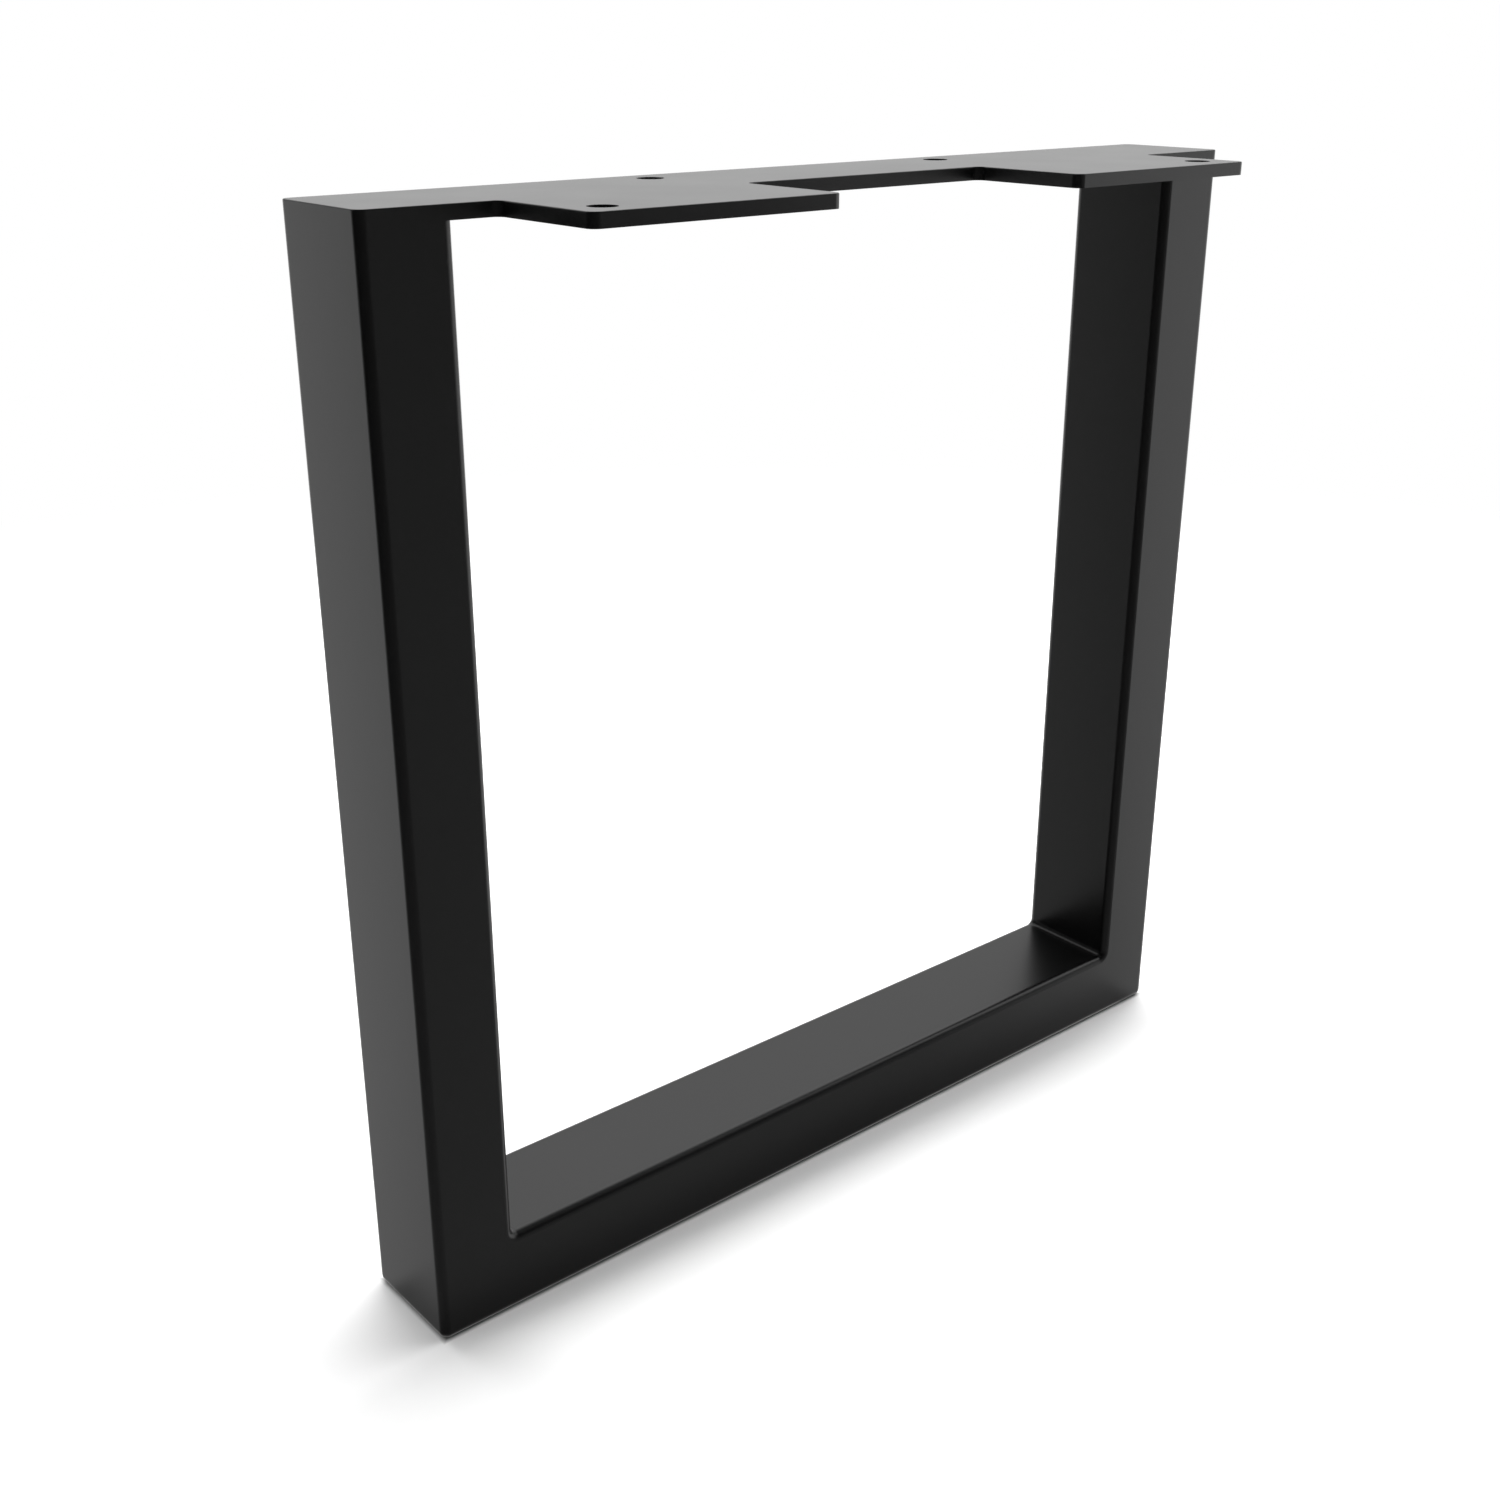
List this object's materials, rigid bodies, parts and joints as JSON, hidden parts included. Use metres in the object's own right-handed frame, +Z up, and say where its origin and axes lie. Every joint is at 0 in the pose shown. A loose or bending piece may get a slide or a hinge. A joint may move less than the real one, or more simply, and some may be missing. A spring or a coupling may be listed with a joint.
{
  "type": "furniture leg",
  "caption": "Square U-frame furniture leg of welded rectangular steel tube in black powder coat, closed by a flat top plate with tabs and bolt holes for a bench seat or low table top.",
  "frame": {"origin": "on the floor, half way along the frame, below the plane of the tubes' front faces, which is also half way across the top plate", "axes": "+Z up, X along the frame, -Y towards the side that the plate's tabs reach out to"},
  "size_m": [0.5, 0.12, 0.5],
  "materials": {
    "powder_coat": "satin black powder coat over mild steel"
  },
  "bodies": {
    "root": {"left_leg": "powder_coat", "right_leg": "powder_coat", "bottom_rail": "powder_coat", "left_corner_weld": "powder_coat", "right_corner_weld": "powder_coat", "mounting_plate": "powder_coat"}
  },
  "joints": []
}
